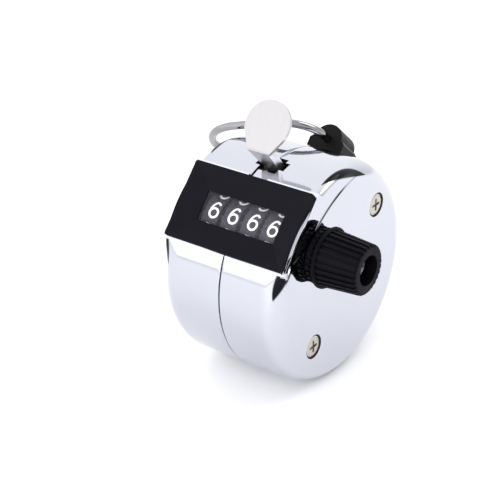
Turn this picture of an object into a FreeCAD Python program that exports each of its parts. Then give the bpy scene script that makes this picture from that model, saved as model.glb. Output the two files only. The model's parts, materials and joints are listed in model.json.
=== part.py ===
import FreeCAD, Part

import os
import re
import Sketcher

# Hand tally counter: a chromed drum case in two half shells with a four-digit number
# train, a thumb lever that works a ratchet, a reset knob and a swivelling finger ring.
# Millimetres. Origin at the centre of the flat left end face, X along the drum towards
# the reset knob, Y to the back, Z up. The drum's axis is the X axis.

V = FreeCAD.Vector
doc = FreeCAD.newDocument("TallyCounter")

SIZES = [
    ("case_radius", 22.0), ("case_width", 28.0), ("seam_x", 14.5), ("shell_wall", 0.8),
    ("edge_round", 4.3), ("seam_chamfer", 0.12), ("lap_length", 2.0), ("lap_gap", 0.05),
    ("window_tilt", 47.0), ("window_x", 14.0), ("window_shift", 0.8),
    ("bezel_length", 26.6), ("bezel_height", 15.4), ("bezel_face", 21.45), ("bezel_seat", 20.75),
    ("bezel_rim", 0.55), ("bezel_floor", 20.3), ("bezel_under", 19.7), ("bezel_corner", 0.5),
    ("skirt_length", 23.2), ("skirt_height", 11.8), ("bezel_gap", 0.1),
    ("opening_length", 17.4), ("opening_height", 5.9), ("lens_lap", 0.6), ("lens_depth", 0.35),
    ("boss_margin", 0.45), ("boss_depth", 2.2),
    ("slot_x", 14.5), ("slot_narrow", 4.2), ("slot_wide", 6.3), ("slot_front", 27.5),
    ("slot_back", 6.3), ("cross_front", 15.3), ("cross_back", 9.0),
    ("wheel_offset", 12.6), ("wheel_radius", 6.9), ("wheel_width", 3.55), ("wheel_pitch", 4.45),
    ("shaft_radius", 1.3), ("running_gap", 0.06), ("gear_disc", 0.4),
    ("gear_root", 5.15), ("gear_tip", 6.3), ("gear_recess", 4.5), ("recess_depth", 1.2),
    ("gear_teeth", 20.0), ("driver_radius", 4.6), ("driver_tip", 5.15),
    ("pinion_distance", 8.15), ("pinion_root", 1.7), ("pinion_tip", 2.8), ("pinion_teeth", 8.0),
    ("pinion_width", 0.76), ("pinion_bore", 0.76), ("pinion_shaft_radius", 0.7),
    ("tooth_root_half", 0.42), ("tooth_tip_half", 0.2),
    ("plate_radius", 19.4), ("plate_depth", 0.8), ("left_plate_x", 3.6), ("right_plate_x", 24.8),
    ("pillar_circle", 14.95), ("pillar_back", 45.8), ("pillar_front", 224.0),
    ("pillar_radius", 2.4), ("pillar_end_radius", 1.7), ("pillar_bore", 0.95), ("end_gap", 0.05),
    ("screw_head_radius", 2.1), ("screw_hole_radius", 2.45), ("screw_seat_radius", 1.5),
    ("screw_radius", 0.9),
    ("screw_length", 5.5), ("screw_sink", 0.1), ("cross_width", 0.55), ("cross_length", 2.5),
    ("knob_gap", 0.15), ("knob_base_radius", 5.3), ("knob_base", 1.2), ("knob_groove", 0.4),
    ("knob_flange_radius", 5.84), ("knob_flange", 0.9), ("knob_end_x", 38.6),
    ("grip_radius", 5.4), ("grip_end_radius", 4.8), ("rib_depth", 0.32), ("rib_half", 0.32),
    ("rib_count", 26.0), ("knob_recess_radius", 2.9), ("knob_recess", 3.0), ("knob_web", 0.8),
    ("knob_screw_head", 1.9), ("knob_screw_radius", 0.75), ("bush_radius", 2.5),
    ("pivot_y", -5.5), ("pivot_z", 17.0),
    ("pivot_radius", 0.7), ("sleeve_radius", 1.25), ("sleeve_left", 5.4), ("sleeve_right", 24.6),
    ("lever_width", 3.7), ("lever_sheet", 0.7), ("hub_radius", 2.1),
    ("pad_radius", 4.75), ("pad_y", -6.3), ("pad_z", 29.9), ("pad_lean", 34.0),
    ("fold_drop", 5.3), ("fold_width", 4.75), ("neck_length", 6.1), ("neck_slope", 48.0),
    ("tongue_outer", 21.7), ("tongue_width", 3.9), ("tongue_back", 17.8), ("tongue_front", 27.3),
    ("shoulder_low", 9.0), ("shoulder_high", 107.0), ("shoulder_root", 17.3),
    ("shoulder_round", 1.3),
    ("ratchet_radius", 5.2), ("ratchet_root", 4.3), ("ratchet_x", 22.62), ("ratchet_width", 0.8),
    ("ratchet_teeth", 10.0), ("drive_arm_x", 23.6), ("drive_arm_depth", 0.75),
    ("pawl_y", -4.6), ("pawl_z", 0.2), ("pawl_angle", 157.0), ("pawl_length", 6.6),
    ("pawl_pin_radius", 0.55), ("pawl_hub", 1.1),
    ("detent_y", 0.1), ("detent_z", 11.0), ("detent_post_radius", 0.5),
    ("holder_angle", 42.1), ("holder_distance", 24.0), ("holder_length", 6.4),
    ("barrel_radius", 3.05), ("holder_half_width", 3.9), ("holder_top", 24.2),
    ("wire_radius", 0.8), ("wire_gap", 0.06), ("ring_reach", 23.8), ("ring_tilt", 18.8),
    ("ring_stub", 1.9), ("ring_inner_bend", 8.0), ("ring_outer_bend", 8.6),
    ("spring_left", 6.0), ("spring_length", 5.0), ("spring_coil", 1.7), ("spring_wire", 0.22),
]

sheet = doc.addObject("Spreadsheet::Sheet", "Sizes")
for row, (alias, value) in enumerate(SIZES, start=1):
    sheet.set("A%d" % row, alias)
    sheet.set("B%d" % row, str(value))
    sheet.setAlias("B%d" % row, alias)
doc.recompute()

ALIASES = {alias for alias, value in SIZES}
NODES = {}

# Places that several sub-parts share, as expressions of the driving sizes.
WHEEL_Y = "(-wheel_offset * sin(window_tilt))"
WHEEL_Z = "(wheel_offset * cos(window_tilt))"
PINION_Y = "(-(wheel_offset * sin(window_tilt) + pinion_distance * cos(window_tilt)))"
PINION_Z = "(wheel_offset * cos(window_tilt) - pinion_distance * sin(window_tilt))"
PAWL_Y = "pawl_y"
PAWL_Z = "pawl_z"
HOLDER_Y = "(holder_distance * sin(holder_angle))"
HOLDER_Z = "(holder_distance * cos(holder_angle))"


def bound(text):
    """Expression text with each size name pointed at the spreadsheet."""
    return re.sub(r"[a-z][a-z_]*", lambda m: "Sizes." + m.group() if m.group() in ALIASES else m.group(),
                  str(text))


def number(text):
    return float(sheet.evalExpression(bound(text)))


def bind(target, name, text):
    target.setExpression(name, bound(text))


def place(target, x="0", y="0", z="0", axis=None, angle="0"):
    """Put an object at x, y, z, turned about an axis by an angle in degrees."""
    turn = FreeCAD.Rotation(axis, number(angle)) if axis else FreeCAD.Rotation()
    target.Placement = FreeCAD.Placement(V(number(x), number(y), number(z)), turn)
    bind(target, "Placement.Base.x", x)
    bind(target, "Placement.Base.y", y)
    bind(target, "Placement.Base.z", z)
    if axis:
        bind(target, "Placement.Rotation.Angle", angle)
    return target


def keep(label, target):
    target.Label = label
    NODES[label] = target
    return target


# ---- PartDesign helpers -------------------------------------------------------------

def new_body(name):
    return doc.addObject("PartDesign::Body", name)


def origin_feature(body, role):
    return next(feature for feature in body.Origin.OriginFeatures if feature.Role == role)


def new_sketch(body, role="YZ_Plane", offset="0", turn=None, base=None):
    """Sketch on an origin plane; offset is along its normal, turn and base tilt it."""
    sketch = body.newObject("Sketcher::SketchObject", body.Name + "_sketch")
    sketch.AttachmentSupport = [(origin_feature(body, role), "")]
    sketch.MapMode = "FlatFace"
    if turn:
        rotation = FreeCAD.Rotation(V(1, 0, 0), number(turn))
        sketch.AttachmentOffset = FreeCAD.Placement(V(0, number(base[0]), number(base[1])), rotation)
        bind(sketch, "AttachmentOffset.Base.y", base[0])
        bind(sketch, "AttachmentOffset.Base.z", base[1])
        bind(sketch, "AttachmentOffset.Rotation.Angle", turn)
    else:
        sketch.AttachmentOffset = FreeCAD.Placement(V(0, 0, number(offset)), FreeCAD.Rotation())
        bind(sketch, "AttachmentOffset.Base.z", offset)
    return sketch


def constrain(sketch, kind, geometry, point, text):
    index = sketch.addConstraint(Sketcher.Constraint(kind, -1, 1, geometry, point, number(text)))
    bind(sketch, "Constraints[%d]" % index, text)


def polygon(sketch, corners):
    """Closed outline whose corners are pairs of expressions."""
    first = sketch.GeometryCount
    spots = [V(number(x), number(y), 0) for x, y in corners]
    count = len(corners)
    for i in range(count):
        sketch.addGeometry(Part.LineSegment(spots[i], spots[(i + 1) % count]))
    for i in range(count):
        sketch.addConstraint(Sketcher.Constraint("Coincident", first + i, 2, first + (i + 1) % count, 1))
    for i, (x, y) in enumerate(corners):
        constrain(sketch, "DistanceX", first + i, 1, x)
        constrain(sketch, "DistanceY", first + i, 1, y)
    return sketch


def rectangle(sketch, length, height, x="0", y="0"):
    left, right = "%s - %s / 2" % (x, length), "%s + %s / 2" % (x, length)
    low, high = "%s - %s / 2" % (y, height), "%s + %s / 2" % (y, height)
    return polygon(sketch, [(left, low), (right, low), (right, high), (left, high)])


def circle(sketch, radius, x="0", y="0"):
    index = sketch.addGeometry(Part.Circle(V(number(x), number(y), 0), V(0, 0, 1), number(radius)))
    constrain(sketch, "DistanceX", index, 3, x)
    constrain(sketch, "DistanceY", index, 3, y)
    radial = sketch.addConstraint(Sketcher.Constraint("Radius", index, number(radius)))
    bind(sketch, "Constraints[%d]" % radial, radius)
    return sketch


def pad(body, sketch, length, midplane=False, reverse=False):
    feature = body.newObject("PartDesign::Pad", body.Name + "_pad")
    feature.Profile = sketch
    feature.SideType = "Symmetric" if midplane else "One side"
    feature.Reversed = reverse
    bind(feature, "Length", length)
    return feature


def pocket(body, sketch, length, midplane=False, reverse=False):
    doc.recompute()
    before = body.Shape.Volume
    feature = body.newObject("PartDesign::Pocket", body.Name + "_pocket")
    feature.Profile = sketch
    feature.SideType = "Symmetric" if midplane else "One side"
    feature.Reversed = reverse
    bind(feature, "Length", length)
    doc.recompute()
    if body.Shape.Volume > before - 1e-6:
        raise RuntimeError(feature.Name + " removes nothing")
    return feature


def revolve(body, sketch, axis="H_Axis"):
    feature = body.newObject("PartDesign::Revolution", body.Name + "_turned")
    feature.Profile = sketch
    feature.ReferenceAxis = (sketch, [axis])
    feature.Angle = 360
    return feature


def around(body, feature, count, axis="X_Axis"):
    """Repeat a feature evenly round one of the body's axes."""
    pattern = body.newObject("PartDesign::PolarPattern", body.Name + "_pattern")
    pattern.Originals = [feature]
    pattern.Axis = (origin_feature(body, axis), [""])
    pattern.Angle = 360
    bind(pattern, "Occurrences", count)
    body.Tip = pattern
    return pattern


def fillet(body, radius, chooses):
    """Round the edges of the body's last shape for which chooses(edge) is true."""
    doc.recompute()
    base = body.Tip
    names = ["Edge%d" % (i + 1) for i, edge in enumerate(base.Shape.Edges) if chooses(edge)]
    if not names:
        raise RuntimeError(body.Name + " has no such edge")
    feature = body.newObject("PartDesign::Fillet", body.Name + "_fillet")
    feature.Base = (base, names)
    bind(feature, "Radius", radius)
    return feature


def ring_edge(x, radius):
    """Tests for the full circle about the X axis at x with that radius."""
    def test(edge):
        curve = edge.Curve
        return (isinstance(curve, Part.Circle) and abs(curve.Center.x - number(x)) < 1e-4
                and abs(curve.Radius - number(radius)) < 1e-4)
    return test


def upright(edge):
    """True for an edge that runs along the body's Z axis."""
    return abs(edge.tangentAt(edge.FirstParameter).z) > 0.99


# ---- Part helpers -------------------------------------------------------------------

def box(x, y, z, length, width, height, axis=None, angle="0"):
    """Box centred on its own middle, at x, y, z."""
    solid = doc.addObject("Part::Box", "box")
    bind(solid, "Length", length)
    bind(solid, "Width", width)
    bind(solid, "Height", height)
    turn = FreeCAD.Rotation(axis, number(angle)) if axis else FreeCAD.Rotation()
    half = V(number(length) / 2, number(width) / 2, number(height) / 2)
    middle = V(number(x), number(y), number(z))
    solid.Placement = FreeCAD.Placement(middle - turn.multVec(half), turn)
    return solid


def rod(x, y, z, radius, length, end_radius=None):
    """Cylinder or cone along +X that starts at x, y, z."""
    kind = "Part::Cone" if end_radius else "Part::Cylinder"
    solid = doc.addObject(kind, "rod")
    if end_radius:
        bind(solid, "Radius1", radius)
        bind(solid, "Radius2", end_radius)
    else:
        bind(solid, "Radius", radius)
    bind(solid, "Height", length)
    solid.Placement = FreeCAD.Placement(V(), FreeCAD.Rotation(V(0, 1, 0), 90))
    bind(solid, "Placement.Base.x", x)
    bind(solid, "Placement.Base.y", y)
    bind(solid, "Placement.Base.z", z)
    return solid


def fuse(*pieces):
    joined = doc.addObject("Part::MultiFuse", "joined")
    joined.Shapes = list(pieces)
    return joined


def cut(base, *tools):
    result = doc.addObject("Part::Cut", "cut")
    result.Base = base
    result.Tool = fuse(*tools) if len(tools) > 1 else tools[0]
    return result


def group(*pieces):
    together = doc.addObject("Part::Compound", "group")
    together.Links = list(pieces)
    return together


def turned(name, profile, x="0", y="0", z="0"):
    """Solid of revolution about the line along X through y, z; profile is (x, radius) pairs."""
    body = new_body(name)
    revolve(body, polygon(new_sketch(body, "XY_Plane"), profile))
    place(body, x, y, z)
    return body


# ---- case ---------------------------------------------------------------------------

def shell_blank(name, left):
    """Half of the drum with its rounded end edge and the raised seat for the window bezel."""
    body = new_body(name)
    seam, mid = "seam_x", "case_radius - shell_wall"
    if left:
        end, inner, chamfer = "0", "shell_wall", "seam_x - seam_chamfer"
    else:
        end, inner, chamfer = "case_width", "(case_width - shell_wall)", "seam_x + seam_chamfer"
    profile = [(end, "0"), (end, "case_radius"), (chamfer, "case_radius"),
               (seam, "case_radius - seam_chamfer")]
    if left:
        profile += [(seam, mid + " - lap_gap"), ("seam_x + lap_length", mid + " - lap_gap"),
                    ("seam_x + lap_length", mid + " - shell_wall"),
                    ("seam_x - lap_length", mid + " - shell_wall"), ("seam_x - lap_length", mid)]
    else:
        profile += [(seam, mid)]
    profile += [(inner, mid), (inner, "0")]
    revolve(body, polygon(new_sketch(body, "XY_Plane"), profile))
    fillet(body, "edge_round", ring_edge(end, "case_radius"))
    fillet(body, "edge_round - shell_wall", ring_edge(inner, mid))

    edge = "(window_x - bezel_length / 2 - boss_margin)" if left else \
        "(window_x + bezel_length / 2 + boss_margin)"
    low = "(window_shift - bezel_height / 2 - boss_margin)"
    high = "(window_shift + bezel_height / 2 + boss_margin)"
    seat = polygon(new_sketch(body, "XY_Plane", "bezel_seat - boss_depth"),
                   [(edge, low), (seam, low), (seam, high), (edge, high)])
    pad(body, seat, "boss_depth")

    wall = "shell_wall" if left else "-shell_wall"
    far = "(seam_x + lap_length + 1)" if left else "(seam_x - 1)"
    inside = edge + " + " + wall
    hollow = polygon(new_sketch(body, "XY_Plane", "bezel_seat - shell_wall"),
                     [(inside, low + " + shell_wall"), (far, low + " + shell_wall"),
                      (far, high + " - shell_wall"), (inside, high + " - shell_wall")])
    pocket(body, hollow, "8")
    if left:
        lip = polygon(new_sketch(body, "XY_Plane", "case_radius + 1"),
                      [(seam, low + " - 0.5"), (far, low + " - 0.5"),
                       (far, high + " + 0.5"), (seam, high + " + 0.5")])
        pocket(body, lip, "case_radius / 2")

    recess = rectangle(new_sketch(body, "XY_Plane", "bezel_seat"), "(bezel_length + 2 * bezel_gap)",
                       "(bezel_height + 2 * bezel_gap)", "window_x", "window_shift")
    pocket(body, recess, "5", reverse=True)
    mouth = rectangle(new_sketch(body, "XY_Plane", "bezel_seat + 1"), "(skirt_length + 2 * bezel_gap)",
                      "(skirt_height + 2 * bezel_gap)", "window_x", "window_shift")
    pocket(body, mouth, "4")
    place(body, axis=V(1, 0, 0), angle="window_tilt")
    return body


def on_drum(angle, distance):
    """Middle of a cutter that stands on the drum at an angle back from the top."""
    return "%s * sin(%s)" % (distance, angle), "%s * cos(%s)" % (distance, angle)


def slot_cutter(width, front, back):
    """Wedge between two angles in front of the drum's top, through the shell."""
    body = new_body("slot_cutter")
    inner, outer = "(case_radius - 3)", "(case_radius + 6)"
    outline = [("-%s * sin(%s)" % (inner, front), "%s * cos(%s)" % (inner, front)),
               ("-%s * sin(%s)" % (outer, front), "%s * cos(%s)" % (outer, front)),
               ("-%s * sin(%s)" % (outer, back), "%s * cos(%s)" % (outer, back)),
               ("-%s * sin(%s)" % (inner, back), "%s * cos(%s)" % (inner, back))]
    pad(body, polygon(new_sketch(body, "YZ_Plane", "slot_x - %s / 2" % width), outline), width)
    return body


def case_cutters(left):
    holder_y, holder_z = on_drum("holder_angle", "(case_radius - 1)")
    cutters = [slot_cutter("slot_narrow", "slot_front", "slot_back"),
               slot_cutter("slot_wide", "cross_front", "cross_back"),
               box("slot_x", holder_y, holder_z, "(2 * holder_half_width - 1.8)", "(holder_length - 1.2)",
                   "6", V(1, 0, 0), "-holder_angle")]
    for angle in ("pillar_back", "pillar_front"):
        y, z = "pillar_circle * cos(%s)" % angle, "pillar_circle * sin(%s)" % angle
        if left:
            cutters.append(rod("0", y, z, "screw_hole_radius", "shell_wall", "screw_seat_radius"))
            cutters.append(rod("0", y, z, "screw_seat_radius", "2 * shell_wall"))
        else:
            cutters.append(rod("case_width - shell_wall", y, z, "screw_seat_radius", "shell_wall",
                               "screw_hole_radius"))
            cutters.append(rod("case_width - 2 * shell_wall", y, z, "screw_seat_radius", "2 * shell_wall"))
    if not left:
        cutters.append(rod("case_width - 2", WHEEL_Y, WHEEL_Z, "(bush_radius + lap_gap)", "4"))
    return cutters


def window_box(low, high, length, height):
    """Box that stands along the window's normal, between two distances from the drum's axis."""
    middle = "((%s + %s) / 2)" % (low, high)
    y = "(window_shift * cos(window_tilt) - %s * sin(window_tilt))" % middle
    z = "(window_shift * sin(window_tilt) + %s * cos(window_tilt))" % middle
    return box("window_x", y, z, length, height, "(%s - %s)" % (high, low), V(1, 0, 0), "window_tilt")


def shoulder(left):
    """Fuller corner that carries the drum out to its full width beside the window."""
    ring = new_body("shoulder_ring")
    sign = "+" if left else "-"
    edge = "(window_x %s (bezel_length / 2 + boss_margin))" % ("-" if left else "+")
    steps = [("0", "shoulder_root"), ("0", "case_radius"), ("5", "case_radius"),
             ("5", "case_radius - shell_wall + 0.2"), ("3", "case_radius - shell_wall + 0.1"),
             ("1.3", "plate_radius + 0.2"), ("1", "shoulder_root")]
    profile = [("%s %s %s" % (edge, sign, along), radius) for along, radius in steps]
    revolve(ring, polygon(new_sketch(ring, "XY_Plane"), profile))
    fillet(ring, "shoulder_round", ring_edge(edge, "case_radius"))
    rest = new_body("shoulder_rest")
    far = "(3 * case_radius)"
    outline = [("0", "0"), ("-%s * cos(shoulder_high)" % far, "%s * sin(shoulder_high)" % far),
               (far, far), (far, "-" + far), ("-" + far, "-" + far),
               ("-%s * cos(shoulder_low)" % far, "%s * sin(shoulder_low)" % far)]
    pad(rest, polygon(new_sketch(rest, "YZ_Plane", "-1"), outline), "case_width + 2")
    recess = window_box("bezel_seat", "(bezel_seat + 5)", "(bezel_length + 2 * bezel_gap)",
                        "(bezel_height + 2 * bezel_gap)")
    mouth = window_box("(bezel_seat - 4)", "(bezel_seat + 1)", "(skirt_length + 2 * bezel_gap)",
                       "(skirt_height + 2 * bezel_gap)")
    return cut(ring, rest, recess, mouth)


def slot_tongue():
    """Strip of the left shell that backs the front of the lever's slot."""
    body = new_body("slot_tongue")
    arc = []
    for radius, angles in (("tongue_outer", ("tongue_back", "tongue_front")),
                           ("(tongue_outer - lever_sheet)", ("tongue_front", "tongue_back"))):
        middle = "(tongue_back + tongue_front) / 2"
        for angle in (angles[0], middle, angles[1]):
            arc.append(("-%s * sin(%s)" % (radius, angle), "%s * cos(%s)" % (radius, angle)))
    pad(body, polygon(new_sketch(body, "YZ_Plane", "slot_x - tongue_width / 2"), arc), "tongue_width")
    root = []
    for radius, angle in (("tongue_outer - lever_sheet", "slot_front"), ("case_radius - 0.3", "slot_front"),
                          ("case_radius - 0.3", "(slot_front - 2.3)"),
                          ("tongue_outer - lever_sheet", "(slot_front - 2.3)")):
        root.append(("-(%s) * sin(%s)" % (radius, angle), "(%s) * cos(%s)" % (radius, angle)))
    start = "(slot_x - slot_narrow / 2 - 1)"
    pad(body, polygon(new_sketch(body, "YZ_Plane", start), root),
        "(1.2 + (slot_narrow - tongue_width) / 2)")
    return body


def make_case():
    for name, left in (("left_shell", True), ("right_shell", False)):
        blank = fuse(shell_blank(name + "_blank", left), shoulder(left))
        shell = cut(blank, *case_cutters(left))
        keep(name, fuse(shell, slot_tongue()) if left else shell)


def make_window():
    bezel = new_body("window_bezel")
    flange = rectangle(new_sketch(bezel, "XY_Plane", "bezel_seat"), "bezel_length", "bezel_height",
                       "window_x", "window_shift")
    pad(bezel, flange, "(bezel_face - bezel_seat)")
    fillet(bezel, "bezel_corner", upright)
    skirt = rectangle(new_sketch(bezel, "XY_Plane", "bezel_under"), "skirt_length", "skirt_height",
                      "window_x", "window_shift")
    pad(bezel, skirt, "(bezel_face - 0.4 - bezel_under)")
    mouth = rectangle(new_sketch(bezel, "XY_Plane", "bezel_face"), "(bezel_length - 2 * bezel_rim)",
                      "(bezel_height - 2 * bezel_rim)", "window_x", "window_shift")
    throat = rectangle(new_sketch(bezel, "XY_Plane", "bezel_floor"), "opening_length", "opening_height",
                       "window_x", "window_shift")
    doc.recompute()
    slope = bezel.newObject("PartDesign::SubtractiveLoft", "window_slope")
    slope.Profile = mouth
    slope.Sections = [throat]
    slope.Ruled = True
    through = rectangle(new_sketch(bezel, "XY_Plane", "bezel_floor + 0.01"), "opening_length",
                        "opening_height", "window_x", "window_shift")
    pocket(bezel, through, "3")
    ledge = rectangle(new_sketch(bezel, "XY_Plane", "bezel_under"),
                      "(opening_length + 2 * lens_lap + 0.1)", "(opening_height + 2 * lens_lap + 0.1)",
                      "window_x", "window_shift")
    pocket(bezel, ledge, "lens_depth", reverse=True)
    keep("window_bezel", place(bezel, axis=V(1, 0, 0), angle="window_tilt"))

    lens = new_body("window_lens")
    pane = rectangle(new_sketch(lens, "XY_Plane", "bezel_under"), "(opening_length + 2 * lens_lap)",
                     "(opening_height + 2 * lens_lap)", "window_x", "window_shift")
    pad(lens, pane, "lens_depth")
    keep("window_lens", place(lens, axis=V(1, 0, 0), angle="window_tilt"))


# ---- frame --------------------------------------------------------------------------

def pillar_spot(angle):
    return "pillar_circle * cos(%s)" % angle, "pillar_circle * sin(%s)" % angle


def make_frame():
    for name, x in (("frame_plate_left", "left_plate_x"), ("frame_plate_right", "right_plate_x")):
        body = new_body(name)
        sketch = circle(new_sketch(body, "YZ_Plane", x), "plate_radius")
        circle(sketch, "(shaft_radius + running_gap)", WHEEL_Y, WHEEL_Z)
        circle(sketch, "(pinion_shaft_radius + lap_gap)", PINION_Y, PINION_Z)
        circle(sketch, "(pivot_radius + lap_gap)", "pivot_y", "pivot_z")
        for angle in ("pillar_back", "pillar_front"):
            circle(sketch, "(pillar_end_radius + lap_gap)", *pillar_spot(angle))
        pad(body, sketch, "plate_depth")
        keep(name, body)

    shoulder_left, shoulder_right = "(left_plate_x + plate_depth)", "right_plate_x"
    end_left, end_right = "(shell_wall + end_gap)", "(case_width - shell_wall - end_gap)"
    pillars = []
    for angle in ("pillar_back", "pillar_front"):
        blank = turned("pillar", [(end_left, "0"), (end_left, "pillar_end_radius"),
                                  (shoulder_left, "pillar_end_radius"), (shoulder_left, "pillar_radius"),
                                  (shoulder_right, "pillar_radius"),
                                  (shoulder_right, "pillar_end_radius"),
                                  (end_right, "pillar_end_radius"), (end_right, "0")],
                       "0", *pillar_spot(angle))
        y, z = pillar_spot(angle)
        pillars.append(cut(blank, rod("0", y, z, "pillar_bore", "(screw_length + 1.5)"),
                           rod("case_width - screw_length - 1.5", y, z, "pillar_bore", "screw_length + 2")))
    keep("frame_pillars", group(*pillars))

    for name, radius, head, y, z in (
            ("pinion_shaft", "pinion_shaft_radius", "(pinion_shaft_radius + 0.5)", PINION_Y, PINION_Z),
            ("lever_pivot_pin", "pivot_radius", "(pivot_radius + 0.6)", "pivot_y", "pivot_z")):
        left, right = "left_plate_x", "(right_plate_x + plate_depth)"
        keep(name, turned(name, [(left + " - 0.4", "0"), (left + " - 0.4", head), (left, head),
                                 (left, radius), (right, radius), (right, head),
                                 (right + " + 0.4", head), (right + " + 0.4", "0")], "0", y, z))


def cross_recess(x, y, z, depth):
    """Two crossed bars that cut a cross-head drive."""
    return (box(x, y, z, depth, "cross_length", "cross_width"),
            box(x, y, z, depth, "cross_width", "cross_length"))


def case_screw(left, angle):
    y, z = pillar_spot(angle)
    face = "screw_sink" if left else "(case_width - screw_sink)"
    sign = "+" if left else "-"
    crown, base = "%s %s 0.12" % (face, sign), "%s %s 0.75" % (face, sign)
    tip = "%s %s screw_length" % (face, sign)
    blank = turned("case_screw", [(face, "0"), (face, "(screw_head_radius - 0.35)"),
                                  (crown, "screw_head_radius"), (base, "screw_radius"),
                                  (tip + " %s (-0.4)" % sign, "screw_radius"),
                                  (tip, "(screw_radius - 0.3)"), (tip, "0")], "0", y, z)
    return cut(blank, *cross_recess(face, y, z, "1.1"))


def make_case_screws():
    for name, left in (("case_screws_left", True), ("case_screws_right", False)):
        keep(name, group(*[case_screw(left, angle) for angle in ("pillar_back", "pillar_front")]))


# ---- reset shaft and knob -----------------------------------------------------------

def make_reset():
    web = "(knob_end_x - knob_recess - knob_web)"
    body = turned("reset_shaft", [("1.8", "0"), ("1.8", "shaft_radius - 0.2"), ("2.0", "shaft_radius"),
                                  ("2.45", "shaft_radius"), ("2.45", "shaft_radius - 0.35"),
                                  ("2.85", "shaft_radius - 0.35"), ("2.85", "shaft_radius"),
                                  (web + " - 0.1", "shaft_radius"), (web + " - 0.1", "0")],
                  "0", WHEEL_Y, WHEEL_Z)
    bore = rod(web + " - 4.5", WHEEL_Y, WHEEL_Z, "knob_screw_radius + 0.02", "5")
    groove = box("window_x", WHEEL_Y, WHEEL_Z + " - shaft_radius", "19", "0.6", "0.7")
    keep("reset_shaft", cut(body, bore, groove))

    clip = turned("shaft_clip", [("2.48", "shaft_radius - 0.33"), ("2.48", "shaft_radius + 1.1"),
                                 ("2.82", "shaft_radius + 1.1"), ("2.82", "shaft_radius - 0.33")],
                  "0", WHEEL_Y, WHEEL_Z)
    mouth = box("2.65", WHEEL_Y, WHEEL_Z + " + 2.0", "2", "1.5", "4")
    keep("shaft_clip", cut(clip, mouth))

    keep("shaft_bush", turned("shaft_bush", [
        ("right_plate_x + plate_depth", "shaft_radius + running_gap"),
        ("right_plate_x + plate_depth", "bush_radius + 0.9"),
        ("case_width - shell_wall", "bush_radius + 0.9"), ("case_width - shell_wall", "bush_radius"),
        ("case_width", "bush_radius"), ("case_width", "shaft_radius + running_gap")],
        "0", WHEEL_Y, WHEEL_Z))

    knob = new_body("reset_knob")
    base, groove = "(case_width + knob_gap)", "(case_width + knob_gap + knob_base)"
    flange = "(case_width + knob_gap + knob_base + knob_groove)"
    grip = "(case_width + knob_gap + knob_base + knob_groove + knob_flange)"
    profile = [(base, "shaft_radius"), (base, "knob_base_radius - 0.35"),
               (base + " + 0.25", "knob_base_radius - rib_depth"),
               (groove, "knob_base_radius - rib_depth"),
               (groove, "knob_base_radius - 0.6"), (flange, "knob_base_radius - 0.6"),
               (flange + " + 0.1", "knob_flange_radius - 0.25"),
               (flange + " + 0.3", "knob_flange_radius"), (grip + " - 0.3", "knob_flange_radius"),
               (grip, "knob_flange_radius - 0.3"), (grip, "grip_radius - rib_depth"),
               ("knob_end_x - 0.3", "grip_end_radius - rib_depth"),
               ("knob_end_x", "grip_end_radius - rib_depth - 0.3"), ("knob_end_x", "knob_recess_radius"),
               ("knob_end_x - knob_recess", "knob_recess_radius"),
               ("knob_end_x - knob_recess", "knob_screw_radius + 0.1"),
               (web, "knob_screw_radius + 0.1"), (web, "shaft_radius")]
    revolve(knob, polygon(new_sketch(knob, "XY_Plane"), profile))
    fin = polygon(new_sketch(knob, "XY_Plane"), [
        (grip + " - 0.3", "grip_radius - 1"), (grip + " - 0.3", "grip_radius"),
        ("knob_end_x - 0.35", "grip_end_radius"), ("knob_end_x - 0.05", "grip_end_radius - 0.35"),
        ("knob_end_x - 0.05", "grip_end_radius - 1")])
    around(knob, pad(knob, fin, "2 * rib_half", midplane=True), "rib_count")
    low_fin = polygon(new_sketch(knob, "XY_Plane"), [
        (base + " + 0.2", "knob_base_radius - 1"), (base + " + 0.2", "knob_base_radius - 0.2"),
        (base + " + 0.4", "knob_base_radius"), (groove + " - 0.1", "knob_base_radius"),
        (groove + " - 0.1", "knob_base_radius - 1")])
    around(knob, pad(knob, low_fin, "2 * rib_half", midplane=True), "rib_count")
    keep("reset_knob", place(knob, "0", WHEEL_Y, WHEEL_Z))

    seat = "(knob_end_x - knob_recess)"
    screw = turned("knob_screw", [(web + " - 4", "0"), (web + " - 4", "knob_screw_radius - 0.2"),
                                  (web + " - 3.8", "knob_screw_radius"), (seat, "knob_screw_radius"),
                                  (seat, "knob_screw_head"), (seat + " + 0.9", "knob_screw_head"),
                                  (seat + " + 1.2", "knob_screw_head - 0.5"), (seat + " + 1.2", "0")],
                   "0", WHEEL_Y, WHEEL_Z)
    keep("knob_screw", cut(screw, *cross_recess(seat + " + 1.2", WHEEL_Y, WHEEL_Z, "1.2")))


# ---- number wheels and transfer pinions ---------------------------------------------

WHEELS = ["thousands", "hundreds", "tens", "units"]


def tooth_outline(root, tip):
    """Blunt tooth that stands along the body's Z axis."""
    return [("-tooth_root_half", root + " - 0.3"), ("tooth_root_half", root + " - 0.3"),
            ("tooth_root_half", root), ("tooth_tip_half", tip), ("-tooth_tip_half", tip),
            ("-tooth_root_half", root)]


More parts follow.
